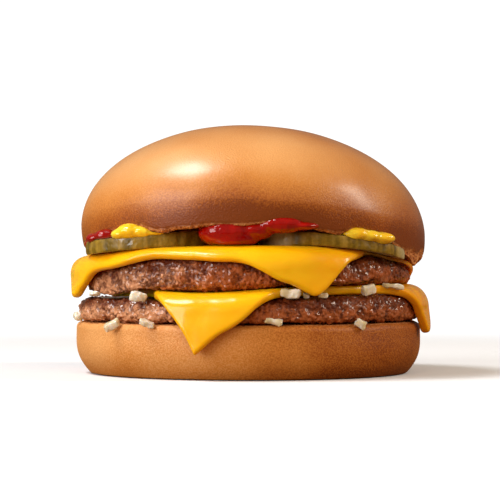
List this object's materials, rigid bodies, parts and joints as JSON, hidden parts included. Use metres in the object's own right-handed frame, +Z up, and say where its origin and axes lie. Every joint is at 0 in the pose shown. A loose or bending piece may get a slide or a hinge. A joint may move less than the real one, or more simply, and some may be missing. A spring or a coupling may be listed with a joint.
{
  "type": "double cheeseburger",
  "caption": "Double cheeseburger: soft bun, thin beef patties, melted cheese slices with hanging corners, pickle slices, ketchup, mustard and diced onion.",
  "frame": {"origin": "centre of the burger's bounding box, at the height of the flat underside of the bun's heel", "axes": "+Z up through the stack; -Y is the front, towards which the tilted crown opens; +X is the right side seen from the front"},
  "size_m": [0.1034, 0.1055, 0.0711],
  "materials": {
    "bun_crust": "soft satin crust",
    "seared_beef": "rough, slightly moist",
    "processed_cheese": "soft gloss",
    "pickle": "wet",
    "ketchup": "wet gloss",
    "mustard": "gloss",
    "diced_onion": "moist"
  },
  "bodies": {
    "root": {"bun_heel": "bun_crust", "bun_crown": "bun_crust", "patty_lower": "seared_beef", "patty_upper": "seared_beef", "cheese_lower": "processed_cheese", "cheese_upper": "processed_cheese", "pickle_left": "pickle", "pickle_right": "pickle", "ketchup_middle": "ketchup", "ketchup_left": "ketchup", "mustard_left": "mustard", "mustard_right": "mustard"}
  },
  "joints": []
}
